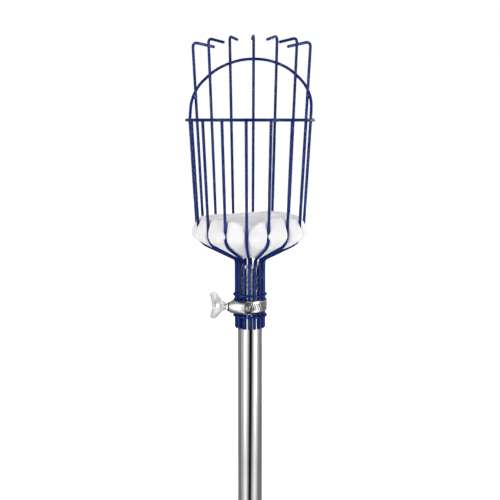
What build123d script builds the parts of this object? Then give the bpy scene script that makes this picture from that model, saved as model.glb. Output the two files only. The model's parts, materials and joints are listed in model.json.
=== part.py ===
from build123d import *

import math
import os

# Fruit picker basket on the top section of its sectional pole, in millimetres.
#
# A cage of sixteen coated wires is welded to a rim ring and two collar rings. Seven tall wires at the
# back end in hooks, seven short ones end at the rim, and the two side wires are one hoop that braces the
# tall wires from behind. A foam cushion lies in the bowl of the cage. The wires end in a round neck that
# slides over the threaded end of a steel pole section, where a worm drive hose clamp with a thumb key
# grips it. The pole section ends in a coupler that takes the next section.
#
# +Z runs up the pole to the hooks and the origin is the centre of the coupler's lower mouth. The hooks
# stand at +Y, and the fruit comes in over the rim from -Y.

# Pole section and coupler, from the bottom up.
POLE_R = 12.7
POLE_WALL = 0.7
POLE_LENGTH = 330.0
INSERT_R = 12.3
INSERT_WALL = 1.5
INSERT_OVERLAP = 22.0  # length pressed into the pole tube
INSERT_TOP_LENGTH = 50.0  # length standing out of the tube's upper end
COUPLER_LENGTH = 90.0
COUPLER_R = 14.4
SOCKET_R = 12.35
STOP_R = 10.4
STOP_HALF = 1.5
GRIP_R = 16.2
GRIP_END = 1.0
GRIP_GROOVES = 5
GRIP_GROOVE_PITCH = 3.2
GRIP_GROOVE_R = 0.8
THREAD_PITCH = 5.2
THREAD_TURNS = 3
THREAD_ROOT_R = 1.5  # radius of the rolled groove's section
THREAD_DEPTH = 0.75
THREAD_START = 10.0  # first groove below the insert's end
SLIP_GAP = 0.3  # round the worm's journal in the housing

# Basket wires.
WIRE_D = 3.0
COLLAR_WIRE_D = 1.8
WIRE_COUNT = 16
WELD = 0.1  # depth that welded wires share
RIM_R = 64.0
NECK_R = 14.5
NECK_LENGTH = 72.0
NECK_BEND_R = 6.0
KNEE_R = 54.25
KNEE_BEND_R = 15.5
CONE_HEIGHT = 20.1  # from the neck's corner to the knee's corner
BOWL_HEIGHT = 121.8  # from the knee's corner to the rim
POLE_IN_NECK = 64.0  # length of the pole inside the neck
RIM_STICK_OUT = 1.0  # short wires end this far above the rim's centre
HOOK_HEIGHT = 89.6  # above the rim, at the middle of the back
HOOK_DROP = 1.14  # each hook stands lower by this times its squared place from the middle
HOOK_LENGTH = 26.5
HOOK_SLOPE = 13.0  # degrees below level
HOOK_BEND_R = 3.6
TALL_COUNT = 7

# Brace hoop: an arch that leans back from the side wires and lies on the outside of the tall wires.
HOOP_HEIGHT = 65.0  # above the rim, at the middle of the back
HOOP_RIM_BEND_R = 9.0
HOOP_SPRING = 0.4  # how far its last run goes on past the last tall wire, as a share of half that run

# Collar rings, above the neck's lower end.
LOWER_COLLAR = 13.3
UPPER_COLLAR = 35.3

# Foam cushion.
FOAM_TOP = 98.0  # below the rim
FOAM_THICKNESS = 9.0
FOAM_GAP = 0.25
FOAM_FLOOR_R = 19.5

# Hose clamp. It is drawn with its screw at -Y and then turned about Z.
CLAMP_TURN = -21.0
CLAMP_HEIGHT = 24.6  # above the neck's lower end
BAND_T = 0.6
BAND_GAP = 0.25
BAND_W = 11.8
STRAP_W = 11.4
STRAP_LIFT = 0.15
STRAP_TIP = -64.0  # degrees from the screw towards the key
STRAP_TAIL = 150.0
FAN_STEPS = 8  # sides of the wedge that cuts the strap's length out of a ring
SLOT_PITCH = 2.2
SLOT_W = 1.1
SLOT_HEIGHT = 6.8
SLOT_LEAN = 17.0
SLOT_FIRST = -50.0
SLOT_LAST = 112.0
HOUSING_WALL = 0.6
HOUSING_LEFT = -11.5
HOUSING_RIGHT = 6.0
SADDLE_RIGHT = 9.5
DOME_CENTRE = 20.6
WORM_R = 4.1
WORM_ROOT_R = 3.3
WORM_LEFT = -10.3
WORM_RIGHT = 8.6
WORM_SEAT = 0.1
JOURNAL_R = 2.4
WASHER_R = 5.0
WASHER_T = 1.2
WASHER_LEFT = -14.2
KEY_T = 1.7
KEY_EYE_R = 2.45
KEY_EYE_AT = -26.8
KEY_CORNER_R = 1.2
KEY_BOSS_R = 3.0
KEY_BOSS_END = -19.0
KEY_WAIST = -33.4  # middle of the hollow in its far edge
KEY_EDGE = [  # upper edge from the washer out to the tail's tip: along the screw, and up from it
    (WASHER_LEFT, 2.6), (-17.8, 3.4), (-22.0, 6.0), (-26.2, 10.8), (-29.4, 13.6), (-32.4, 14.2), (-36.0, 12.6),
]

# Places worked out from the sizes above.
WIRE_R = WIRE_D / 2
POLE_BOTTOM = COUPLER_LENGTH
POLE_TOP = POLE_BOTTOM + POLE_LENGTH
PIPE_TOP = POLE_TOP + INSERT_TOP_LENGTH
NECK_BOTTOM = PIPE_TOP - POLE_IN_NECK
NECK_TOP = NECK_BOTTOM + NECK_LENGTH
KNEE_Z = NECK_TOP + CONE_HEIGHT
RIM_Z = KNEE_Z + BOWL_HEIGHT
WIRE_AT_RIM = RIM_R - WIRE_D + WELD
FLARE = (WIRE_AT_RIM - KNEE_R) / BOWL_HEIGHT
PITCH_ANGLE = 360 / WIRE_COUNT
SIDE_PLACE = WIRE_COUNT // 4
CLAMP_Z = NECK_BOTTOM + CLAMP_HEIGHT
BAND_R = NECK_R + WIRE_R + BAND_GAP
STRAP_R = BAND_R + BAND_T + STRAP_LIFT
STRAP_OUT_R = STRAP_R + BAND_T
WORM_AXIS = STRAP_OUT_R + WORM_SEAT + WORM_R


def tube(r_out, r_in, z_low, z_high):
    """An upright tube about Z."""
    height = z_high - z_low
    both = Cylinder(r_out, height) - Cylinder(r_in, height)
    return Pos(0, 0, (z_low + z_high) / 2) * both


def ring(radius, wire_d, z):
    """A round wire bent into a closed ring about Z."""
    return Pos(0, 0, z) * Torus(radius, wire_d / 2)


def sweep_wire(path, wire_d):
    """A round wire along a path."""
    start = Plane(origin=path @ 0, z_dir=path % 0)
    return sweep(start * Circle(wire_d / 2), path=path)


def wire_radius(height):
    """Radius of a cage wire's line at a height above the rim."""
    return WIRE_AT_RIM + FLARE * height


# The pole section and its coupler.


def thread_grooves(z_first, step):
    """Rolled grooves round an insert, one for each turn of its thread."""
    seat = INSERT_R - THREAD_DEPTH + THREAD_ROOT_R
    return [ring(seat, 2 * THREAD_ROOT_R, z_first + step * n) for n in range(THREAD_TURNS)]


def thread_insert(z_low, z_high, z_first, step):
    """A short tube with a rolled thread, whose narrower half is pressed into one end of the pole."""
    body = tube(INSERT_R, INSERT_R - INSERT_WALL, z_low, z_high)
    body -= tube(POLE_R, POLE_R - POLE_WALL, POLE_BOTTOM, POLE_TOP)
    for groove in thread_grooves(z_first, step):
        body -= groove
    return body


def pole_tube():
    return tube(POLE_R, POLE_R - POLE_WALL, POLE_BOTTOM, POLE_TOP)


def top_thread_insert():
    return thread_insert(POLE_TOP - INSERT_OVERLAP, PIPE_TOP, PIPE_TOP - THREAD_START, -THREAD_PITCH)


def bottom_thread_insert():
    low = COUPLER_LENGTH / 2 + STOP_HALF
    return thread_insert(low, POLE_BOTTOM + INSERT_OVERLAP, low + THREAD_START, THREAD_PITCH)


def coupler_core():
    """A socket at each end, with a stop ring between them."""
    middle = COUPLER_LENGTH / 2
    lower = tube(COUPLER_R, SOCKET_R, 0, middle - STOP_HALF)
    stop = tube(COUPLER_R, STOP_R, middle - STOP_HALF, middle + STOP_HALF)
    upper = tube(COUPLER_R, SOCKET_R, middle + STOP_HALF, COUPLER_LENGTH)
    return lower + stop + upper


def coupler_grip():
    """A soft sleeve on the coupler, with grooves round its middle and rounded ends."""
    sleeve = tube(GRIP_R, COUPLER_R, GRIP_END, COUPLER_LENGTH - GRIP_END)
    outer = sleeve.edges().filter_by(GeomType.CIRCLE).group_by(SortBy.RADIUS)[-1]
    sleeve = fillet(outer, GRIP_GROOVE_R)
    half = (GRIP_GROOVES - 1) / 2
    for n in range(GRIP_GROOVES):
        sleeve -= ring(GRIP_R, 2 * GRIP_GROOVE_R, COUPLER_LENGTH / 2 + (n - half) * GRIP_GROOVE_PITCH)
    return sleeve


# The wire cage.


def cage_corners():
    """A cage wire's line in its own upright plane, from its lower end to the knee."""
    return [(NECK_R, NECK_BOTTOM), (NECK_R, NECK_TOP), (KNEE_R, KNEE_Z)]


def stand_up(points):
    """(radius, height) points as points in the XZ plane."""
    return [(r, 0, z) for r, z in points]


def at_place(shape, place):
    """Turns a shape from +X to a wire's place, counted from the front towards +X."""
    return Rot(0, 0, place * PITCH_ANGLE - 90) * shape


def short_wire(place):
    """A wire from the neck to the rim."""
    corners = cage_corners() + [(wire_radius(RIM_STICK_OUT), RIM_Z + RIM_STICK_OUT)]
    path = FilletPolyline(*stand_up(corners), radius=[NECK_BEND_R, KNEE_BEND_R])
    return at_place(sweep_wire(path, WIRE_D), place)


def tall_wire(place):
    """A wire from the neck past the rim, which ends in a hook towards the axis."""
    from_middle = abs(place - WIRE_COUNT // 2)
    height = HOOK_HEIGHT - HOOK_DROP * from_middle**2
    slope = math.radians(HOOK_SLOPE)
    corner = (wire_radius(height), RIM_Z + height)
    tip = (corner[0] - HOOK_LENGTH * math.cos(slope), corner[1] - HOOK_LENGTH * math.sin(slope))
    corners = cage_corners() + [corner, tip]
    path = FilletPolyline(*stand_up(corners), radius=[NECK_BEND_R, KNEE_BEND_R, HOOK_BEND_R])
    return at_place(sweep_wire(path, WIRE_D), place)


def on_tall_wires(from_back, height):
    """A point outside the tall wires, at an angle from the back and a height above the rim."""
    out = (wire_radius(height) + WIRE_D - WELD) / math.cos(math.radians(PITCH_ANGLE / 2))
    turn = math.radians(from_back)
    return Vector(out * math.sin(turn), out * math.cos(turn), RIM_Z + height)


def hoop_corners():
    """Corners of the hoop's arch from +X round the back to -X. Each run's middle touches a tall wire."""
    top = HOOP_HEIGHT / math.cos(math.radians(PITCH_ANGLE / 2))
    steps = [PITCH_ANGLE * (n + 0.5) for n in range(SIDE_PLACE)]
    half = [on_tall_wires(a, top * math.cos(math.radians(a))) for a in steps]
    last_touch = (half[-1] + half[-2]) / 2
    half[-1] = last_touch + (half[-1] - last_touch) * HOOP_SPRING
    other_half = [Vector(-p.X, p.Y, p.Z) for p in half]
    return half[::-1] + other_half


def bend_radii(points, share=0.45):
    """The largest bend that each corner's two runs have room for."""
    radii = []
    for before, corner, after in zip(points, points[1:], points[2:]):
        run_in = corner - before
        run_out = after - corner
        half_turn = math.radians(run_in.get_angle(run_out) / 2)
        radii.append(share * min(run_in.length, run_out.length) / math.tan(half_turn))
    return radii


def brace_hoop():
    """One wire: up one side, over the back as an arch outside the tall wires, down the other side."""
    side = [Vector(*p) for p in stand_up(cage_corners() + [(WIRE_AT_RIM, RIM_Z)])]
    other_side = [Vector(-p.X, p.Y, p.Z) for p in reversed(side)]
    arch = hoop_corners()
    arch_radii = bend_radii([side[-1]] + arch + [other_side[0]])
    side_radii = [NECK_BEND_R, KNEE_BEND_R, HOOP_RIM_BEND_R]
    radii = side_radii + arch_radii + side_radii[::-1]
    path = FilletPolyline(*side, *arch, *other_side, radius=radii)
    return sweep_wire(path, WIRE_D)


def collar_ring(height):
    return ring(NECK_R + WIRE_R + COLLAR_WIRE_D / 2 - WELD, COLLAR_WIRE_D, NECK_BOTTOM + height)


def foam_cushion():
    """A soft cup that lines the knee and the cone of the cage."""
    inset = WIRE_R + FOAM_GAP
    top = RIM_Z - FOAM_TOP
    wall_r = wire_radius(-FOAM_TOP) - inset
    knee_r = KNEE_R - inset
    cone = math.atan2(CONE_HEIGHT, KNEE_R - NECK_R)
    lift = inset / math.cos(cone)
    knee_z = KNEE_Z + lift - inset * math.tan(cone)
    floor_z = NECK_TOP + lift + (FOAM_FLOOR_R - NECK_R) * math.tan(cone)
    inner_floor_z = floor_z + FOAM_THICKNESS
    inner_knee = (knee_r - FOAM_THICKNESS, knee_z + FOAM_THICKNESS / math.cos(cone))
    outer = FilletPolyline(
        (0, floor_z), (FOAM_FLOOR_R, floor_z), (knee_r, knee_z), (wall_r, top),
        radius=[NECK_BEND_R, KNEE_BEND_R - inset],
    )
    inner = Polyline(
        (wall_r, top), (wall_r - FOAM_THICKNESS, top), inner_knee,
        (FOAM_FLOOR_R / 2, inner_floor_z), (0, inner_floor_z),
    )
    axis_line = Line((0, inner_floor_z), (0, floor_z))
    section = Plane.XZ * make_face([*outer.edges(), *inner.edges(), axis_line])
    return revolve(section, Axis.Z)


# The hose clamp, drawn with its screw at -Y and along X, about its own centre.


def place_clamp(shape):
    return Pos(0, 0, CLAMP_Z) * Rot(0, 0, CLAMP_TURN) * shape


def along_x(shape):
    """Turns a solid of revolution about Z to lie along the worm's axis, with +Z as +X."""
    return Pos(0, -WORM_AXIS, 0) * Rot(0, 90, 0) * shape


def rod(radius, x_low, x_high):
    """A round rod on the worm's axis."""
    return along_x(Pos(0, 0, (x_low + x_high) / 2) * Cylinder(radius, x_high - x_low))


def arc_wall(r_in, r_out, width, first, last):
    """An upright curved strip, between angles from the screw towards +X."""
    ring_wall = tube(r_out, r_in, -width / 2, width / 2)
    reach = 3 * r_out
    rays = [math.radians(first + (last - first) * n / FAN_STEPS - 90) for n in range(FAN_STEPS + 1)]
    fan = [(0, 0)] + [(reach * math.cos(a), reach * math.sin(a)) for a in rays]
    wedge = extrude(make_face(Polyline(*fan, close=True)), width, both=True)
    return ring_wall & wedge


def clamp_band():
    """The plain part of the clamp's band, all the way round the neck."""
    return place_clamp(tube(BAND_R + BAND_T, BAND_R, -BAND_W / 2, BAND_W / 2))


def clamp_strap():
    """The slotted end of the band, which the worm draws through the housing."""
    strap = arc_wall(STRAP_R, STRAP_OUT_R, STRAP_W, STRAP_TIP, STRAP_TAIL)
    step = math.degrees(SLOT_PITCH / STRAP_OUT_R)
    slot = Pos(0, -STRAP_OUT_R, 0) * Rot(0, SLOT_LEAN, 0) * Box(SLOT_W, 4 * BAND_T, SLOT_HEIGHT)
    angle = SLOT_FIRST
    while angle < SLOT_LAST:
        strap -= Rot(0, 0, angle) * slot
        angle += step
    return place_clamp(strap)


def clamp_housing():
    """A bent sheet over the worm, whose walls hold the band's edges."""
    half = BAND_W / 2
    outer_half = half + HOUSING_WALL

    def dome(radius, x_low, x_high):
        middle = (x_low + x_high) / 2
        length = x_high - x_low
        wall = Pos(middle, -DOME_CENTRE / 2, 0) * Box(length, DOME_CENTRE, 2 * radius)
        roof = Pos(middle, -DOME_CENTRE, 0) * Rot(0, 90, 0) * Cylinder(radius, length)
        return wall + roof

    shell = dome(outer_half, HOUSING_LEFT, HOUSING_RIGHT)
    shell -= dome(half, HOUSING_LEFT - 1, HOUSING_RIGHT + 1)
    saddle_length = SADDLE_RIGHT - HOUSING_LEFT
    saddle_deep = DOME_CENTRE - BAND_R + BAND_T
    saddle_at = (HOUSING_LEFT + SADDLE_RIGHT) / 2
    for side in (-1, 1):
        cheek = Box(saddle_length, saddle_deep, HOUSING_WALL)
        shell += Pos(saddle_at, -DOME_CENTRE + saddle_deep / 2, side * (half + HOUSING_WALL / 2)) * cheek
    end_plate = Pos(HOUSING_LEFT + HOUSING_WALL / 2, -WORM_AXIS, 0) * Box(HOUSING_WALL, 2 * WORM_R, BAND_W)
    shell += end_plate & dome(outer_half, HOUSING_LEFT, HOUSING_RIGHT)
    shell -= Cylinder(BAND_R, 4 * BAND_W)
    shell -= rod(JOURNAL_R + SLIP_GAP, HOUSING_LEFT - 1, 0)
    return place_clamp(shell)


def clamp_worm():
    """The screw: a ridged worm in the housing and a plain journal out to the key."""
    worm = rod(WORM_ROOT_R, WORM_LEFT, WORM_RIGHT)
    ridge_at = WORM_LEFT + SLOT_PITCH / 2
    while ridge_at < WORM_RIGHT - SLOT_PITCH / 2:
        worm += rod(WORM_R, ridge_at - SLOT_W / 2, ridge_at + SLOT_W / 2)
        ridge_at += SLOT_PITCH
    worm += rod(JOURNAL_R, WASHER_LEFT + WASHER_T, WORM_LEFT)
    return place_clamp(worm)


def worm_washer():
    """The collar between the housing and the key."""
    return place_clamp(rod(WASHER_R, WASHER_LEFT, WASHER_LEFT + WASHER_T))


def thumb_key():
    """A flat fish tail key with an eye and a round boss, on the end of the screw."""
    lower_edge = [(x, -z) for x, z in reversed(KEY_EDGE)]
    sides = Polyline(*lower_edge, *KEY_EDGE)
    tail = ThreePointArc(KEY_EDGE[-1], (KEY_WAIST, 0), lower_edge[0])
    plate = make_face([*sides.edges(), *tail.edges()])
    corners = plate.vertices().filter_by(lambda v: v.X < WASHER_LEFT - KEY_CORNER_R)
    plate = fillet(corners, KEY_CORNER_R)
    plate -= Pos(KEY_EYE_AT, 0) * Circle(KEY_EYE_R)
    key = Pos(0, -WORM_AXIS, 0) * extrude(Plane.XZ * plate, KEY_T / 2, both=True)
    return place_clamp(key + rod(KEY_BOSS_R, KEY_BOSS_END, WASHER_LEFT))


def build():
    """Every separate piece, by the name of its node."""
    parts = {
        "coupler_core": coupler_core(),
        "coupler_grip": coupler_grip(),
        "pole_tube": pole_tube(),
        "top_thread_insert": top_thread_insert(),
        "bottom_thread_insert": bottom_thread_insert(),
        "brace_hoop": brace_hoop(),
        "rim_ring": ring(RIM_R, WIRE_D, RIM_Z),
        "lower_collar_ring": collar_ring(LOWER_COLLAR),
        "upper_collar_ring": collar_ring(UPPER_COLLAR),
        "foam_cushion": foam_cushion(),
        "clamp_band": clamp_band(),
        "clamp_strap": clamp_strap(),
        "clamp_housing": clamp_housing(),
        "clamp_worm": clamp_worm(),
        "worm_washer": worm_washer(),
        "thumb_key": thumb_key(),
    }
    for n in range(1 - SIDE_PLACE, SIDE_PLACE):
        parts[f"short_wire_{n + SIDE_PLACE}"] = short_wire(n)
    for n in range(TALL_COUNT):
        parts[f"tall_wire_{n + 1}"] = tall_wire(SIDE_PLACE + 1 + n)
    return parts


os.makedirs("parts", exist_ok=True)
for node, solid in build().items():
    export_step(solid, f"parts/{node}.step")
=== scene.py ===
"""The looks of the fruit picker basket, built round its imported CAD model. Metres, +Z up the pole."""

import heapq
import json
import math
from itertools import product

import bmesh
import bpy
import numpy as np
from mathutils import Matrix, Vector, noise
from mathutils.kdtree import KDTree


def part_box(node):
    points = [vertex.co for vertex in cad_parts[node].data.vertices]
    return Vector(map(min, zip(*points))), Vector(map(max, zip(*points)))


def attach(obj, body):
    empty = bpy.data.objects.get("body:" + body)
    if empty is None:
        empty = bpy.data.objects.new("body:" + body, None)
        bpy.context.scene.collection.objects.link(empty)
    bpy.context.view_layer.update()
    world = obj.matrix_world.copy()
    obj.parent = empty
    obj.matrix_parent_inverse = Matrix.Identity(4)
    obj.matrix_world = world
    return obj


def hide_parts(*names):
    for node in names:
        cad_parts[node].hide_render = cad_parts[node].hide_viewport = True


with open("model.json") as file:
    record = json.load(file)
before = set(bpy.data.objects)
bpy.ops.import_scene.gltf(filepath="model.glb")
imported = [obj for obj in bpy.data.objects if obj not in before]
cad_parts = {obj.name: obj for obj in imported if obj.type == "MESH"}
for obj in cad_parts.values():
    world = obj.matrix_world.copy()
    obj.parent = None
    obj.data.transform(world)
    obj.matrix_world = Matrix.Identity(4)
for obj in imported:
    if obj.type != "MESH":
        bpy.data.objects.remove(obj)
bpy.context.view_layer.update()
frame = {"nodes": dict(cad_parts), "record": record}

# Places, all from the frame.
RIM_LOW, RIM_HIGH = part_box("rim_ring")
RIM_Z = (RIM_LOW.z + RIM_HIGH.z) / 2
WIRE_R = (RIM_HIGH.z - RIM_LOW.z) / 2

# Camera: level with the rim and a little to the right of the basket's middle, looking down the pole.
VIEW_AZIMUTH = math.radians(3.4)
VIEW_DISTANCE = 0.89
VIEW_LENS = 62.8
AIM_BELOW_RIM = 0.1326

# Studio. Each light has its place, its width and height, and its power in watts. Strips and cards have their angle
# in degrees from the front towards +X, then a power or a brightness. The dome's heights run from 0, low, to 1, its top.
FLOOR_HALF = 6.0
SWEEP_NEAR, SWEEP_FAR, SWEEP_GLOW = 0.3, 2.0, 0.3
WORLD_FILL = 0.24
LIGHT_AIM = RIM_Z * 0.75
LIGHTS = [
    ("key", (-1.5, -1.2, 0.9), (0.6, 1.0), 21),
    ("fill", (1.6, -1.0, 0.7), (0.7, 1.2), 22),
    ("top", (0.1, 0.2, 2.2), (1.2, 1.2), 10),
    ("back", (0.5, 1.8, 1.2), (1.6, 1.2), 14),
]
STRIPS = [("left_strip", -50, 45.0), ("right_strip", 48, 32.0), ("back_strip", 150, 30.0)]
STRIP_SIZE = (0.10, 1.3)
STRIP_FAR = 1.2
DOME_R = 0.85
DOME_LOW = -0.5 * DOME_R
FRONT_AT = 0.25
CARDS = [
    (0, 0.0), (11, 0.0), (15, 0.3), (28, 1.0), (46, 1.5), (60, 1.2), (74, 0.62), (92, 0.27), (165, 0.27),
    (180, 0.1), (195, 0.27), (268, 0.27), (286, 0.62), (300, 1.2), (314, 1.5), (332, 1.0), (345, 0.3), (349, 0.0),
]
DOME_HEIGHTS = [(0.0, (0.75,) * 3), (0.33, (0.9,) * 3), (0.75, (1.0,) * 3), (1.0, (1.4,) * 3)]

# Coated wires, in metres and in shares of the wire's radius. BEND_LIMIT is a curvature, and COAT_GRAIN is the number
# of bumps in a metre.
SAME_PLACE = 0.00004
TINY = 1e-9
FLAT_END = 0.99999
LINE_STEP = 0.0005
EASE_ROUNDS = 6
BEND_LIMIT = 4.0
BEND_STEP = 0.001
STRAIGHT_STEP = 0.004
END_ROUND = 0.75
END_RINGS = 5
TUBE_SIDES = 20
TUBE_START = (0.31, 0.93, 0.17)  # any direction that no wire starts along
COAT_WOBBLE = 0.03
COAT_GRAIN = 120.0

# Welds, in metres or as shares of the wire's radius.
SPINDLE_SIDES = 20
SPINDLE_RINGS = 11
SPINDLE_END = 0.86
SPINDLE_MIDDLE = 1.1
BEAD_SHARE = 1.15
FILLET_REACH = 0.0045
TIP_ROOM = 0.7
FILLET_VOXEL = 0.0004
FILLET_SMOOTHING = 5
HOOP_CLEAR_OF_RIM = 0.02

# Foam cushion: the cup before it is blown up.
WIRE_COUNT = 16
FOAM_T = 0.0085
FOAM_CLEAR = 0.0002
FOAM_FLOOR_R = 0.0195
FLAT_FLOOR, INNER_FLOOR = 0.8, 0.5
LINING_STEP = 4
RIM_STEPS = 8
FOAM_AROUND = 128
FOAM_VOXEL = 0.0019
FOAM_SMOOTHING = 4

# The cloth simulation: what it holds in place, and the pressure and the stiffness.
HELD_NEAR_WIRE = 0.0007
HELD_FLOOR, HELD_INSIDE = 0.6, 0.7
FOAM_PRESSURE = 2500.0
FOAM_STIFFNESS = 0.03
FOAM_BENDING = 0.002
FOAM_POINT_MASS = 0.004
CLOTH_QUALITY = 6
FOAM_FRAMES = 20

# How far the foam swells: outside, over the wires' knees, and less inside. The belly's shares are of FOAM_BULGE.
FOAM_BULGE = 0.0098
BELLY_UP, BELLY_REACH = 0.0245, 0.0065
BELLY_ENDS, BELLY_FRONT = 0.12, 0.4
FOAM_SWELL = 0.002

# Lumps of the foam, each with its size, its depth and its seed. The swelling's lumps are a share of it.
SWELL_LUMPS = (0.022, 0.35, 3.0)
SURFACE_LUMPS = [(0.009, 0.0006, 11.0), (0.0035, 0.00022, 29.0)]

# The torn rim: degrees from the front towards +X, width in degrees and height of each wave.
RIM_REACH = 0.02
RIM_WAVES = [
    (4, 8, -0.0035), (35, 16, 0.0034), (-33, 18, 0.0014), (90, 25, -0.0014),
    (-95, 25, -0.001), (-150, 30, -0.002), (150, 25, 0.0012),
]

# Softened edges of the CAD pieces, and the painted shade in the narrow gaps of the clamp.
SAME_CORNER = 0.00001
EDGE_ANGLE = math.radians(40)
EDGE_WIDTHS = {
    "coated_wire": 0.0009,
    "foam": 0.001,
    "clamp_steel": 0.00015,
    "screw_steel": 0.0002,
    "key_metal": 0.0004,
    "pole_steel": 0.0002,
    "insert_steel": 0.0002,
    "coupler_steel": 0.0003,
    "grip_rubber": 0.0002,
}
# The painted shade in gaps: ambient occlusion from GAP_DEEP to GAP_OPEN darkens the colour down to the level on the
# next line.
GAP_DEEP, GAP_OPEN = 0.5, 0.9
GAP_SHADE = 0.03


# Materials.


class Nodes:
    """A material's node tree, with short calls for what the materials below use."""

    def __init__(self, name):
        self.material = bpy.data.materials.new(name)
        self.material.use_nodes = True
        self.tree = self.material.node_tree
        self.shader = self.tree.nodes["Principled BSDF"]
        self.place = self.add("ShaderNodeTexCoord").outputs["Object"]

    def add(self, kind, **settings):
        node = self.tree.nodes.new(kind)
        for key, value in settings.items():
            setattr(node, key, value)
        return node

    def link(self, out, into):
        self.tree.links.new(out, into)

    def set(self, **values):
        for name, value in values.items():
            self.shader.inputs[name.replace("_", " ")].default_value = value

    def scaled(self, scale):
        mapping = self.add("ShaderNodeMapping")
        mapping.inputs["Scale"].default_value = scale
        self.link(self.place, mapping.inputs["Vector"])
        return mapping.outputs["Vector"]

    def noise(self, scale, detail=4.0, roughness=0.5, stretch=(1, 1, 1)):
        node = self.add("ShaderNodeTexNoise")
        node.inputs["Scale"].default_value = scale
        node.inputs["Detail"].default_value = detail
        node.inputs["Roughness"].default_value = roughness
        self.link(self.scaled(stretch), node.inputs["Vector"])
        return node.outputs["Fac"]

    def cells(self, scale, feature="F1"):
        node = self.add("ShaderNodeTexVoronoi", feature=feature)
        node.inputs["Scale"].default_value = scale
        self.link(self.place, node.inputs["Vector"])
        return node.outputs["Distance"]

    def ramp(self, value, stops):
        node = self.add("ShaderNodeValToRGB")
        elements = node.color_ramp.elements
        while len(elements) < len(stops):
            elements.new(0.5)
        for element, (position, colour) in zip(elements, stops):
            element.position = position
            element.color = (*colour, 1.0)
        self.link(value, node.inputs["Fac"])
        return node.outputs["Color"]

    def spread(self, value, low, high, from_low=0.3, from_high=0.7):
        node = self.add("ShaderNodeMapRange")
        node.inputs["From Min"].default_value = from_low
        node.inputs["From Max"].default_value = from_high
        node.inputs["To Min"].default_value = low
        node.inputs["To Max"].default_value = high
        self.link(value, node.inputs["Value"])
        return node.outputs["Result"]

    def bump(self, height, strength, distance, below=None):
        node = self.add("ShaderNodeBump")
        node.inputs["Strength"].default_value = strength
        node.inputs["Distance"].default_value = distance
        self.link(height, node.inputs["Height"])
        if below is not None:
            self.link(below, node.inputs["Normal"])
        return node.outputs["Normal"]

    def times(self, colour, other):
        """Two colours multiplied. The mix node's colour sockets share their names, so they go by number."""
        node = self.add("ShaderNodeMix", data_type="RGBA", blend_type="MULTIPLY")
        node.inputs["Factor"].default_value = 1.0
        self.link(colour, node.inputs[6])
        self.link(other, node.inputs[7])
        return node.outputs[2]

    def painted_shade_in_gaps(self, colour, reach):
        """The colour darkened in narrow gaps, such as slots and seams, by an ambient occlusion node: painted shade."""
        # Painted shade: the ambient occlusion darkens the colour in narrow gaps.
        node = self.add("ShaderNodeAmbientOcclusion", samples=8)
        node.inputs["Distance"].default_value = reach
        gap_shade = self.ramp(node.outputs["AO"], [(GAP_DEEP, (GAP_SHADE,) * 3), (GAP_OPEN, (1.0,) * 3)])
        return self.times(colour, gap_shade)

    def colour(self, out):
        self.link(out, self.shader.inputs["Base Color"])

    def rough(self, out):
        self.link(out, self.shader.inputs["Roughness"])

    def normal(self, out):
        self.link(out, self.shader.inputs["Normal"])


def coated_wire():
    """Glossy blue dip coat, slightly uneven."""
    m = Nodes("coated_wire")
    m.set(Specular_IOR_Level=0.13)
    patches = m.noise(90.0, detail=3.0)
    m.colour(m.ramp(patches, [(0.25, (0.0025, 0.0145, 0.118)), (0.75, (0.0045, 0.0245, 0.172))]))
    m.rough(m.spread(m.noise(260.0), 0.12, 0.2))
    m.normal(m.bump(m.noise(700.0, detail=2.0), 0.12, 0.0004))
    return m.material


def polished_steel(name, roughness, tint, grain=(2600.0, 2600.0, 6.0), gap_reach=None):
    """Drawn and polished steel, with faint lines along it and, if asked for, painted shade darkening its gaps."""
    m = Nodes(name)
    m.set(Metallic=1.0)
    lines = m.noise(1.0, detail=2.0, stretch=grain)
    clouds = m.noise(25.0)
    dull = tuple(c * 0.86 for c in tint)
    shade = m.ramp(clouds, [(0.3, dull), (0.7, tint)])
    # Painted shade: where gap_reach is given, the colour is darkened in narrow gaps.
    m.colour(m.painted_shade_in_gaps(shade, gap_reach) if gap_reach else shade)
    m.rough(m.spread(lines, roughness * 0.75, roughness * 1.3))
    m.normal(m.bump(lines, 0.04, 0.0001))
    return m.material


def satin_zinc():
    """Dull cast or pressed plate of the thumb key."""
    m = Nodes("satin_zinc")
    m.set(Metallic=0.05, Specular_IOR_Level=0.12)
    m.colour(m.ramp(m.noise(180.0), [(0.3, (0.39, 0.38, 0.37)), (0.7, (0.48, 0.47, 0.46))]))
    m.rough(m.spread(m.noise(500.0), 0.36, 0.5))
    m.normal(m.bump(m.noise(1500.0, detail=2.0), 0.2, 0.0002))
    return m.material


def soft_rubber():
    """Matt black rubber of the grip."""
    m = Nodes("soft_rubber")
    m.set(Specular_IOR_Level=0.35)
    m.colour(m.ramp(m.noise(60.0), [(0.3, (0.010, 0.010, 0.011)), (0.7, (0.020, 0.020, 0.021))]))
    m.rough(m.spread(m.noise(300.0), 0.45, 0.62))
    m.normal(m.bump(m.noise(2200.0, detail=2.0), 0.35, 0.0002))
    return m.material


def white_foam():
    """Open cell foam: white, softly lit from within, with fine pores."""
    m = Nodes("white_foam")
    m.set(Subsurface_Weight=0.35, Subsurface_Radius=(0.006, 0.005, 0.005), Subsurface_Scale=0.5)
    m.set(Specular_IOR_Level=0.15, Sheen_Weight=0.15, Sheen_Roughness=0.6)
    m.colour(m.ramp(m.noise(70.0, detail=5.0), [(0.3, (0.84, 0.83, 0.85)), (0.7, (0.90, 0.895, 0.905))]))
    m.rough(m.spread(m.noise(400.0), 0.8, 0.95))
    pores = m.bump(m.cells(900.0), 0.35, 0.0006)
    m.normal(m.bump(m.noise(160.0, detail=6.0), 0.3, 0.0012, below=pores))
    return m.material


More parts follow.
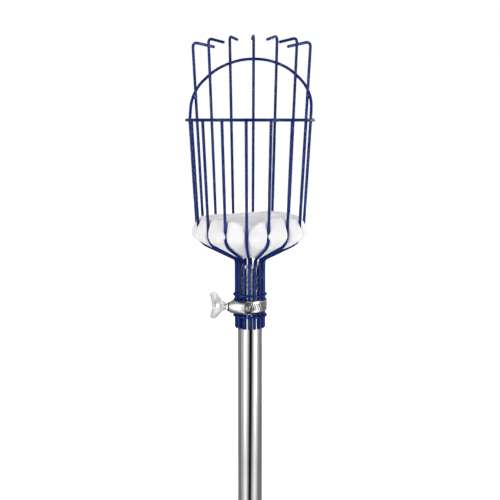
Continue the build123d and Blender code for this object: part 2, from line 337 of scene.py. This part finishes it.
MATERIALS = {
    "coated_wire": coated_wire(),
    "foam": white_foam(),
    "clamp_steel": polished_steel(
        "clamp_steel", 0.16, (0.74, 0.73, 0.72), grain=(6.0, 6.0, 2600.0), gap_reach=0.0013
    ),
    "screw_steel": polished_steel("screw_steel", 0.26, (0.5, 0.49, 0.48), gap_reach=0.002),
    "key_metal": satin_zinc(),
    "pole_steel": polished_steel("pole_steel", 0.085, (0.82, 0.82, 0.83)),
    "insert_steel": polished_steel("insert_steel", 0.2, (0.62, 0.62, 0.63)),
    "coupler_steel": polished_steel("coupler_steel", 0.3, (0.34, 0.34, 0.35)),
    "grip_rubber": soft_rubber(),
}


def finish_cad_nodes():
    """Gives each CAD node its slot's material, softened edges and smooth faces."""
    slots = {part["node"]: part["material_slot"] for part in frame["record"]["subparts"]}
    for name, node in frame["nodes"].items():
        slot = slots[name]
        node.data.materials.clear()
        node.data.materials.append(MATERIALS[slot])
        node.data.shade_smooth()
        weld = node.modifiers.new("weld", "WELD")
        weld.merge_threshold = SAME_CORNER
        bevel = node.modifiers.new("soft_edges", "BEVEL")
        bevel.width = EDGE_WIDTHS[slot]
        bevel.segments = 3 if slot == "coated_wire" else 2
        bevel.limit_method = "ANGLE"
        bevel.angle_limit = EDGE_ANGLE
        bevel.harden_normals = True


# The wire cage. Each wire's line is read from its CAD node and swept again as a finer, coated wire.

CAGE_NODES = [name for name in frame["nodes"] if name.startswith(("short_wire", "tall_wire", "brace_hoop"))]


def section_centres(node, radius):
    """Points of a swept wire's centre line and which of them are joined, from its CAD mesh."""
    mesh = frame["nodes"][node].data
    centres, links, at = [], [], {}

    def centre_of(loop):
        vertex = mesh.vertices[mesh.loops[loop].vertex_index]
        centre = vertex.co - mesh.corner_normals[loop].vector * radius
        key = tuple(round(x / SAME_PLACE) for x in centre)
        for near in product(*((x - 1, x, x + 1) for x in key)):
            if near in at:
                return at[near]
        at[key] = len(centres)
        centres.append(centre)
        links.append(set())
        return at[key]

    for face in mesh.polygons:
        normals = [mesh.corner_normals[loop].vector for loop in face.loop_indices]
        is_flat_end = all(normals[0].dot(normal) > FLAT_END for normal in normals)
        if not is_flat_end:
            corners = [centre_of(loop) for loop in face.loop_indices]
            for a, b in zip(corners, corners[1:] + corners[:1]):
                links[a].add(b)
                links[b].add(a)
    return centres, links


def wire_line(node, radius):
    """A wire's centre line as evenly spaced points, from its lower end to its other end."""
    centres, links = section_centres(node, radius)
    start = min(range(len(centres)), key=lambda n: (round(centres[n].z, 5), -centres[n].x))
    reach = {start: 0.0}
    queue = [(0.0, start)]
    while queue:
        so_far, here = heapq.heappop(queue)
        for there in links[here]:
            longer = so_far + (centres[here] - centres[there]).length
            if longer < reach.get(there, math.inf):
                reach[there] = longer
                heapq.heappush(queue, (longer, there))
    order = sorted(reach, key=reach.get)
    line = np.array([centres[n] for n in order])
    gaps = np.linalg.norm(np.diff(line, axis=0), axis=1)
    line = line[np.concatenate([[True], gaps > 3 * SAME_PLACE])]
    along = lengths_along(line)
    even = points_at(line, along, np.linspace(0, along[-1], round(along[-1] / LINE_STEP) + 1))
    for _ in range(EASE_ROUNDS):
        even[1:-1] = (even[:-2] + 2 * even[1:-1] + even[2:]) / 4
    return even


def lengths_along(line):
    return np.concatenate([[0], np.cumsum(np.linalg.norm(np.diff(line, axis=0), axis=1))])


def points_at(line, along, places):
    return np.stack([np.interp(places, along, line[:, axis]) for axis in range(3)], axis=1)


def ring_places(line, along, radius):
    """Where along a wire its rings of vertices go: close in the bends and at the rounded ends."""
    steps = np.diff(line, axis=0)
    steps /= np.linalg.norm(steps, axis=1)[:, None]
    turn = np.linalg.norm(np.diff(steps, axis=0), axis=1) / LINE_STEP
    turns = [math.pi / 2 * n / END_RINGS for n in range(1, END_RINGS + 1)]
    ends = [END_ROUND * radius * (1 - math.cos(t)) for t in turns]
    places = list(ends)
    for place, bend in zip(along[1:-1], turn):
        gap = BEND_STEP if bend > BEND_LIMIT else STRAIGHT_STEP
        if places[-1] + gap <= place < along[-1] - ends[-1] - BEND_STEP:
            places.append(place)
    return np.array(places + [along[-1] - end for end in reversed(ends)])


def tube_mesh(name, line, radii, tips):
    """A round tube along a line, with a ring of vertices at each point and a pointed fan at each tip."""
    tangents = np.gradient(line, axis=0)
    tangents /= np.linalg.norm(tangents, axis=1)[:, None]
    side = np.cross(tangents[0], TUBE_START)
    vertices, faces = [], []
    for point, tangent, radius in zip(line, tangents, radii):
        side = side - tangent * side.dot(tangent)
        side /= np.linalg.norm(side)
        up = np.cross(tangent, side)
        for k in range(TUBE_SIDES):
            turn = math.tau * k / TUBE_SIDES
            vertices.append(point + radius * (math.cos(turn) * side + math.sin(turn) * up))
    for n in range(len(line) - 1):
        for k in range(TUBE_SIDES):
            a, b = n * TUBE_SIDES + k, n * TUBE_SIDES + (k + 1) % TUBE_SIDES
            faces.append((a, b, b + TUBE_SIDES, a + TUBE_SIDES))
    first_ring = list(range(TUBE_SIDES))
    last_ring = [(len(line) - 1) * TUBE_SIDES + k for k in reversed(range(TUBE_SIDES))]
    for ring, tip in zip((first_ring, last_ring), tips):
        vertices.append(tip)
        for a, b in zip(ring, ring[1:] + ring[:1]):
            faces.append((b, a, len(vertices) - 1))
    mesh = bpy.data.meshes.new(name)
    mesh.from_pydata([tuple(v) for v in vertices], [], faces)
    mesh.shade_smooth()
    return mesh


def coat_thickness(line, seed):
    """The coat's slow rise and fall along a wire, as a share of its radius."""
    return np.array([
        COAT_WOBBLE * noise.noise(Vector(point) * COAT_GRAIN + Vector((seed, 0, 0))) for point in line
    ])


def coated_wire_piece(node, seed):
    """The wire of a CAD node with its coat: rounded at both ends and a little uneven."""
    line = CAGE_LINES[node]
    along = lengths_along(line)
    places = ring_places(line, along, WIRE_R)
    rings = points_at(line, along, places)
    from_end = np.minimum(places, along[-1] - places)
    inward = np.clip(1 - from_end / (END_ROUND * WIRE_R), 0, 1)
    radii = WIRE_R * np.sqrt(1 - inward**2) * (1 + coat_thickness(rings, seed))
    mesh = tube_mesh(f"coated_{node}", rings, radii, (line[0], line[-1]))
    return add_piece(mesh, "basket", "coated_wire", replaced=node)


def add_piece(mesh, body, slot, replaced=None):
    """An object for a finished mesh, which rides on a body and may stand for a CAD node."""
    piece = bpy.data.objects.new(mesh.name, mesh)
    mesh.materials.clear()
    mesh.materials.append(MATERIALS[slot])
    bpy.context.collection.objects.link(piece)
    if replaced:
        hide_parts(replaced)
    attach(piece, body)
    return piece


# Welds. Where two wires touch, the coat bridges them with a small fillet.


def spindle(bm, middle, direction, radius, ahead):
    """Adds a short length of wire that is a little swollen in the middle and ends inside the real wire."""
    direction = Vector(direction).normalized()
    side = direction.orthogonal().normalized()
    up = direction.cross(side)
    rings = []
    for n in range(SPINDLE_RINGS):
        share = 2 * n / (SPINDLE_RINGS - 1) - 1
        size = radius * (SPINDLE_END + (SPINDLE_MIDDLE - SPINDLE_END) * math.cos(share * math.pi / 2))
        centre = Vector(middle) + direction * share * (ahead if share > 0 else FILLET_REACH)
        turns = [math.tau * k / SPINDLE_SIDES for k in range(SPINDLE_SIDES)]
        rings.append([bm.verts.new(centre + (side * math.cos(t) + up * math.sin(t)) * size) for t in turns])
    for low, high in zip(rings, rings[1:]):
        for k in range(SPINDLE_SIDES):
            bm.faces.new((low[k], low[(k + 1) % SPINDLE_SIDES], high[(k + 1) % SPINDLE_SIDES], high[k]))
    bm.faces.new(reversed(rings[0]))
    bm.faces.new(rings[-1])


def weld_fillet(bm_out, point_a, along_a, radius_a, point_b, along_b, radius_b, ahead=FILLET_REACH):
    """Adds the fillet between two wires to bm_out: both spindles and a bead, fused and smoothed."""
    bm = bmesh.new()
    spindle(bm, point_a, along_a, radius_a, ahead)
    spindle(bm, point_b, along_b, radius_b, FILLET_REACH)
    bead = (Vector(point_a) * radius_b + Vector(point_b) * radius_a) / (radius_a + radius_b)
    made = bmesh.ops.create_icosphere(bm, subdivisions=3, radius=BEAD_SHARE * max(radius_a, radius_b))
    bmesh.ops.translate(bm, verts=made["verts"], vec=bead)
    mesh = bpy.data.meshes.new("fillet_draft")
    bm.to_mesh(mesh)
    bm.free()
    draft = bpy.data.objects.new("fillet_draft", mesh)
    bpy.context.collection.objects.link(draft)
    remesh = draft.modifiers.new("fuse", "REMESH")
    remesh.mode = "VOXEL"
    remesh.voxel_size = FILLET_VOXEL
    smooth = draft.modifiers.new("smooth", "SMOOTH")
    smooth.iterations = FILLET_SMOOTHING
    smooth.factor = 0.5
    fused = bpy.data.meshes.new_from_object(draft.evaluated_get(bpy.context.evaluated_depsgraph_get()))
    bm_out.from_mesh(fused)
    bpy.data.objects.remove(draft)
    bpy.data.meshes.remove(mesh)
    bpy.data.meshes.remove(fused)


def ring_line(node):
    """Radius, wire radius and height of a closed ring about the pole's axis."""
    low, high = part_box(node)
    wire_r = (high.z - low.z) / 2
    return high.x - wire_r, wire_r, (high.z + low.z) / 2


def at_height(line, z):
    """The point and direction of a cage wire's first crossing of a height."""
    n = int(np.argmax(line[:, 2] >= z))
    before, after = Vector(line[max(n - 1, 0)]), Vector(line[n])
    share = (z - before.z) / (after.z - before.z)
    return before.lerp(after, share), after - before


def ring_welds(node):
    """The fillets between one ring and every cage wire, as one piece. Both sides of the hoop cross each ring."""
    radius, wire_r, z = ring_line(node)
    bm = bmesh.new()
    lines = list(CAGE_LINES.values()) + [CAGE_LINES["brace_hoop"][::-1]]
    for line in lines:
        point, along = at_height(line, z)
        out = Vector((point.x, point.y, 0)).normalized()
        touch = out * radius + Vector((0, 0, z))
        room = min(FILLET_REACH, (Vector(line[-1]) - point).length * TIP_ROOM)
        weld_fillet(bm, point, along, WIRE_R, touch, out.cross(Vector((0, 0, 1))), wire_r, room)
    return finished_welds(bm, f"{node}_welds")


def hoop_welds():
    """The fillets between the brace hoop and the tall wires that it leans on."""
    bm = bmesh.new()
    hoop = CAGE_LINES["brace_hoop"]
    for node, line in CAGE_LINES.items():
        if node.startswith("tall_wire"):
            high = line[line[:, 2] > RIM_Z + HOOP_CLEAR_OF_RIM]
            gaps = np.linalg.norm(high[:, None] - hoop[None], axis=2)
            a, b = np.unravel_index(np.argmin(gaps), gaps.shape)
            weld_fillet(bm, high[a], high[a] - high[a - 1], WIRE_R, hoop[b], hoop[b] - hoop[b - 1], WIRE_R)
    return finished_welds(bm, "brace_hoop_welds")


def finished_welds(bm, name):
    mesh = bpy.data.meshes.new(name)
    bm.to_mesh(mesh)
    bm.free()
    mesh.shade_smooth()
    return add_piece(mesh, "basket", "coated_wire")


# The foam cushion: a thick cup that the wires hold, blown up between them by a cloth simulation.


def cage_profile():
    """The (radius, height) line of a cage wire, and the directions across it towards the basket's inside."""
    line = CAGE_LINES["short_wire_4"]
    wire = np.stack([np.linalg.norm(line[:, :2], axis=1), line[:, 2]], axis=1)
    run = np.gradient(wire, axis=0)
    run /= np.linalg.norm(run, axis=1)[:, None]
    return wire, np.stack([-run[:, 1], run[:, 0]], axis=1)


def foam_outline():
    """The cup's outline: out over the floor, up inside the wires, over the rounded rim and back in."""
    low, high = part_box("foam_cushion")
    wire, inward = cage_profile()
    lining = (wire[:, 0] > FOAM_FLOOR_R) & (wire[:, 1] < high.z - FOAM_T / 2)
    outer = (wire + inward * (WIRE_R + FOAM_CLEAR))[lining]
    inner = (wire + inward * (WIRE_R + FOAM_CLEAR + FOAM_T))[lining]
    middle, half = (outer[-1] + inner[-1]) / 2, (outer[-1] - inner[-1]) / 2
    up = np.array([-half[1], half[0]])
    turns = [math.pi * n / RIM_STEPS for n in range(1, RIM_STEPS)]
    rim = [middle + half * math.cos(t) + up * math.sin(t) for t in turns]
    floor = [(0, low.z), (FOAM_FLOOR_R * FLAT_FLOOR, low.z)]
    inner_floor = [(FOAM_FLOOR_R * INNER_FLOOR, low.z + FOAM_T), (0, low.z + FOAM_T)]
    return [*floor, *outer[::LINING_STEP], *rim, *inner[::-LINING_STEP], *inner_floor]


def foam_blank():
    """The cup before it is blown up, with even faces."""
    bm = bmesh.new()
    turns = [math.tau * k / FOAM_AROUND for k in range(FOAM_AROUND)]
    rings = []
    for radius, z in foam_outline():
        if radius < SAME_PLACE:
            rings.append([bm.verts.new((0, 0, z))] * FOAM_AROUND)
        else:
            rings.append([bm.verts.new((radius * math.cos(t), radius * math.sin(t), z)) for t in turns])
    for low, high in zip(rings, rings[1:]):
        for k in range(FOAM_AROUND):
            corners = [low[k], low[(k + 1) % FOAM_AROUND], high[(k + 1) % FOAM_AROUND], high[k]]
            bm.faces.new(list(dict.fromkeys(corners)))
    bmesh.ops.recalc_face_normals(bm, faces=bm.faces)
    mesh = bpy.data.meshes.new("foam_blank")
    bm.to_mesh(mesh)
    bm.free()
    blank = bpy.data.objects.new("foam_blank", mesh)
    bpy.context.collection.objects.link(blank)
    apply_modifier(blank, "REMESH", mode="VOXEL", voxel_size=FOAM_VOXEL)
    apply_modifier(blank, "SMOOTH", iterations=FOAM_SMOOTHING, factor=0.5)
    return blank


def apply_modifier(piece, kind, **settings):
    """Puts a modifier's result in the piece's own mesh."""
    modifier = piece.modifiers.new(kind.lower(), kind)
    for name, value in settings.items():
        setattr(modifier, name, value)
    keep_shown_mesh(piece)


def keep_shown_mesh(piece):
    shown = piece.evaluated_get(bpy.context.evaluated_depsgraph_get())
    mesh = bpy.data.meshes.new_from_object(shown)
    piece.modifiers.clear()
    old, piece.data = piece.data, mesh
    bpy.data.meshes.remove(old)


def places_of(mesh):
    flat = np.empty(len(mesh.vertices) * 3)
    mesh.vertices.foreach_get("co", flat)
    return flat.reshape(-1, 3)


def move_to(mesh, places):
    mesh.vertices.foreach_set("co", places.ravel())
    mesh.update()


def near_wires(places):
    """For each point: the nearest place on a wire's line, the way from there, and how far inside the cage it is."""
    wire, inward = cage_profile()
    tree = KDTree(len(wire))
    for n, (radius, z) in enumerate(wire):
        tree.insert((radius, z, 0), n)
    tree.balance()
    around = np.arctan2(places[:, 1], places[:, 0])
    pitch = math.tau / WIRE_COUNT
    wire_at = np.round(around / pitch) * pitch
    out = np.stack([np.cos(wire_at), np.sin(wire_at), np.zeros(len(places))], axis=1)
    radial = (places * out).sum(axis=1)
    nearest = [tree.find((r, z, 0))[1] for r, z in zip(radial, places[:, 2])]
    foot = out * wire[nearest, 0][:, None]
    foot[:, 2] = wire[nearest, 1]
    away = places - foot
    normal = out * inward[nearest, 0][:, None]
    normal[:, 2] = inward[nearest, 1]
    return foot, away, (away * normal).sum(axis=1)


def keep_clear_of_wires(places):
    """Moves points out of the wires, so that each wire lies in a groove."""
    foot, away, _ = near_wires(places)
    gap = np.linalg.norm(away, axis=1)
    needed = WIRE_R + FOAM_CLEAR
    inside = gap < needed
    places[inside] = foot[inside] + away[inside] * (needed / np.maximum(gap[inside], TINY))[:, None]
    return places


def blow_up(cushion):
    """Cloth simulation: pressure fills the cup while the wires hold it. Gives each point's place and its move."""
    before = places_of(cushion.data)
    _, away, depth = near_wires(before)
    held = np.linalg.norm(away, axis=1) < WIRE_R + FOAM_CLEAR + HELD_NEAR_WIRE
    held |= np.linalg.norm(before[:, :2], axis=1) < FOAM_FLOOR_R * HELD_FLOOR
    held |= depth > WIRE_R + FOAM_CLEAR + FOAM_T * HELD_INSIDE
    group = cushion.vertex_groups.new(name="held")
    group.add([int(n) for n in np.flatnonzero(held)], 1.0, "REPLACE")
    cloth = cushion.modifiers.new("cloth", "CLOTH")
    cloth.settings.vertex_group_mass = "held"
    cloth.settings.use_pressure = True
    cloth.settings.uniform_pressure_force = FOAM_PRESSURE
    cloth.settings.quality = CLOTH_QUALITY
    cloth.settings.tension_stiffness = FOAM_STIFFNESS
    cloth.settings.compression_stiffness = FOAM_STIFFNESS
    cloth.settings.shear_stiffness = FOAM_STIFFNESS / 2
    cloth.settings.bending_stiffness = FOAM_BENDING
    cloth.settings.mass = FOAM_POINT_MASS
    cloth.settings.effector_weights.gravity = 0
    cloth.collision_settings.use_collision = False
    for frame_number in range(1, FOAM_FRAMES + 1):
        bpy.context.scene.frame_set(frame_number)
    keep_shown_mesh(cushion)
    cushion.vertex_groups.clear()
    bpy.context.scene.frame_set(1)
    return before, places_of(cushion.data) - before


def swell_limit(places):
    """How far each point may swell out: most over the wires' knees at the basket's sides."""
    low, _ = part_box("foam_cushion")
    _, _, depth = near_wires(places)
    side = np.abs(places[:, 0]) / np.maximum(np.linalg.norm(places[:, :2], axis=1), SAME_PLACE)
    belly = np.exp(-(((places[:, 2] - low.z - BELLY_UP) / BELLY_REACH) ** 2))
    outer = FOAM_BULGE * (BELLY_FRONT + (1 - BELLY_FRONT) * side) * (BELLY_ENDS + (1 - BELLY_ENDS) * belly)
    limit = np.where(depth < WIRE_R + FOAM_CLEAR + FOAM_T / 2, outer, FOAM_SWELL)
    return limit * (1 + lumps(places, *SWELL_LUMPS))


def rim_rise(places):
    """How much higher or lower the torn rim stands round the cup, growing from the knee up."""
    low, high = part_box("foam_cushion")
    around = np.degrees(np.arctan2(places[:, 0], -places[:, 1]))
    rise = np.zeros(len(places))
    for middle, width, height in RIM_WAVES:
        apart = (around - middle + 180) % 360 - 180
        rise += height * np.exp(-((apart / width) ** 2))
    share = np.clip((places[:, 2] - (high.z - RIM_REACH)) / RIM_REACH, 0, 1)
    return rise * share**2


def lumps(places, size, depth, seed):
    return np.array([depth * noise.noise(Vector(p) / size + Vector((seed, 0, 0))) for p in places])


def vertex_normals(mesh):
    flat = np.empty(len(mesh.vertices) * 3)
    mesh.vertices.foreach_get("normal", flat)
    return flat.reshape(-1, 3)


def foam_cushion():
    """The finished cushion: blown up, torn at the rim, uneven, and clear of the wires."""
    cushion = foam_blank()
    cushion.name = "cushion"
    before, moved = blow_up(cushion)
    far = np.linalg.norm(moved, axis=1)
    limit = swell_limit(before)
    moved *= (limit * np.tanh(far / limit) / np.maximum(far, TINY))[:, None]
    move_to(cushion.data, keep_clear_of_wires(before + moved))
    places = places_of(cushion.data)
    places[:, 2] += rim_rise(places)
    move_to(cushion.data, keep_clear_of_wires(places))
    apply_modifier(cushion, "SUBSURF", levels=1)
    places = places_of(cushion.data)
    uneven = sum(lumps(places, *lump) for lump in SURFACE_LUMPS)
    places += vertex_normals(cushion.data) * uneven[:, None]
    move_to(cushion.data, keep_clear_of_wires(places))
    mesh = cushion.data
    mesh.name = "cushion"
    mesh.shade_smooth()
    mesh.materials.clear()
    mesh.materials.append(MATERIALS["foam"])
    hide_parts("foam_cushion")
    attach(cushion, "basket")


# The studio: a white sweep, soft lights, and a dome of bright and dark cards that only reflections see.


def add_mesh(name, vertices, faces, material):
    mesh = bpy.data.meshes.new(name)
    mesh.from_pydata(vertices, [], faces)
    mesh.materials.append(material)
    made = bpy.data.objects.new(name, mesh)
    bpy.context.collection.objects.link(made)
    return made


def sweep_material():
    """White paper, lit from within further out so that no horizon shows."""
    m = Nodes("white_sweep")
    m.set(Roughness=0.8, Emission_Color=(1, 1, 1, 1))
    m.colour(m.ramp(m.noise(3.0), [(0.3, (0.80, 0.80, 0.80)), (0.7, (0.82, 0.82, 0.82))]))
    radius = m.add("ShaderNodeVectorMath", operation="LENGTH")
    m.link(m.place, radius.inputs[0])
    glow = m.spread(radius.outputs["Value"], SWEEP_GLOW, 1.0, SWEEP_NEAR, SWEEP_FAR)
    seen = m.add("ShaderNodeMath", operation="MULTIPLY")
    m.link(glow, seen.inputs[0])
    m.link(m.add("ShaderNodeLightPath").outputs["Is Camera Ray"], seen.inputs[1])
    m.link(seen.outputs["Value"], m.shader.inputs["Emission Strength"])
    return m.material


def add_floor():
    half = FLOOR_HALF
    corners = [(-half, -half, 0), (half, -half, 0), (half, half, 0), (-half, half, 0)]
    floor = add_mesh("floor", corners, [(0, 1, 2, 3)], sweep_material())
    floor.visible_glossy = False


def card_material():
    """Brightness of the dome round the object, by direction: front, sides and back."""
    m = Nodes("studio_cards")
    m.set(Roughness=1.0, Base_Color=(0, 0, 0, 1), Specular_IOR_Level=0.0, Emission_Strength=1.0)
    around = m.add("ShaderNodeTexGradient", gradient_type="RADIAL")
    m.link(m.place, around.inputs["Vector"])
    stops = [((FRONT_AT + angle / 360) % 1.0, (level,) * 3) for angle, level in CARDS]
    bands = m.ramp(around.outputs["Fac"], sorted(stops))
    up = m.add("ShaderNodeSeparateXYZ")
    m.link(m.place, up.inputs["Vector"])
    height = m.ramp(m.spread(up.outputs["Z"], 0.0, 1.0, DOME_LOW, DOME_R), DOME_HEIGHTS)
    m.link(m.times(bands, height), m.shader.inputs["Emission Color"])
    return m.material


def add_dome():
    bm = bmesh.new()
    bmesh.ops.create_uvsphere(bm, u_segments=96, v_segments=48, radius=DOME_R)
    mesh = bpy.data.meshes.new("studio_dome")
    bm.to_mesh(mesh)
    bm.free()
    mesh.materials.append(card_material())
    dome = bpy.data.objects.new("studio_dome", mesh)
    dome.location = (0, 0, RIM_Z / 2)
    bpy.context.collection.objects.link(dome)
    for ray in ("camera", "diffuse", "shadow", "transmission", "volume_scatter"):
        setattr(dome, f"visible_{ray}", False)


def add_light(name, place, size, power):
    """A lamp aimed at the basket, that reflections do not see."""
    light = bpy.data.lights.new(name, "AREA")
    light.shape = "RECTANGLE"
    light.size, light.size_y = size
    light.energy = power
    lamp = bpy.data.objects.new(name, light)
    lamp.location = place
    aim = Vector((0, 0, LIGHT_AIM))
    lamp.rotation_euler = (aim - Vector(place)).to_track_quat("-Z", "Y").to_euler()
    lamp.visible_glossy = False
    bpy.context.collection.objects.link(lamp)
    return lamp


def add_world():
    """White behind everything, and a softer fill for the object."""
    world = bpy.data.worlds.new("studio")
    world.use_nodes = True
    tree = world.node_tree
    shade = tree.nodes["Background"]
    shade.inputs["Color"].default_value = (1, 1, 1, 1)
    ray = tree.nodes.new("ShaderNodeLightPath")
    level = tree.nodes.new("ShaderNodeMapRange")
    level.inputs["To Min"].default_value = WORLD_FILL
    level.inputs["To Max"].default_value = 1.0
    tree.links.new(ray.outputs["Is Camera Ray"], level.inputs["Value"])
    tree.links.new(level.outputs["Result"], shade.inputs["Strength"])
    bpy.context.scene.world = world


def add_lights():
    """Soft lights all round, and three bright strips that the wires and the steel reflect."""
    for name, place, size, power in LIGHTS:
        add_light(name, place, size, power)
    for name, angle, power in STRIPS:
        turn = math.radians(angle)
        place = (STRIP_FAR * math.sin(turn), -STRIP_FAR * math.cos(turn), LIGHT_AIM)
        strip = add_light(name, place, STRIP_SIZE, power)
        strip.visible_glossy = True
        strip.visible_diffuse = False
    add_world()
    add_dome()


def add_camera():
    data = bpy.data.cameras.new("camera")
    data.lens = VIEW_LENS
    camera = bpy.data.objects.new("camera", data)
    bpy.context.collection.objects.link(camera)
    along = Vector((math.sin(VIEW_AZIMUTH), -math.cos(VIEW_AZIMUTH), 0))
    camera.location = along * VIEW_DISTANCE + Vector((0, 0, RIM_Z))
    aim = Vector((0, 0, RIM_Z - AIM_BELOW_RIM))
    camera.rotation_euler = (aim - camera.location).to_track_quat("-Z", "Y").to_euler()
    bpy.context.scene.camera = camera


bpy.context.scene.view_settings.view_transform = "Standard"
add_camera()
add_lights()
add_floor()
finish_cad_nodes()
CAGE_LINES = {node: wire_line(node, WIRE_R) for node in CAGE_NODES}
for seed, node in enumerate(CAGE_NODES):
    coated_wire_piece(node, seed)
for node in ("rim_ring", "lower_collar_ring", "upper_collar_ring"):
    ring_welds(node)
hoop_welds()
foam_cushion()
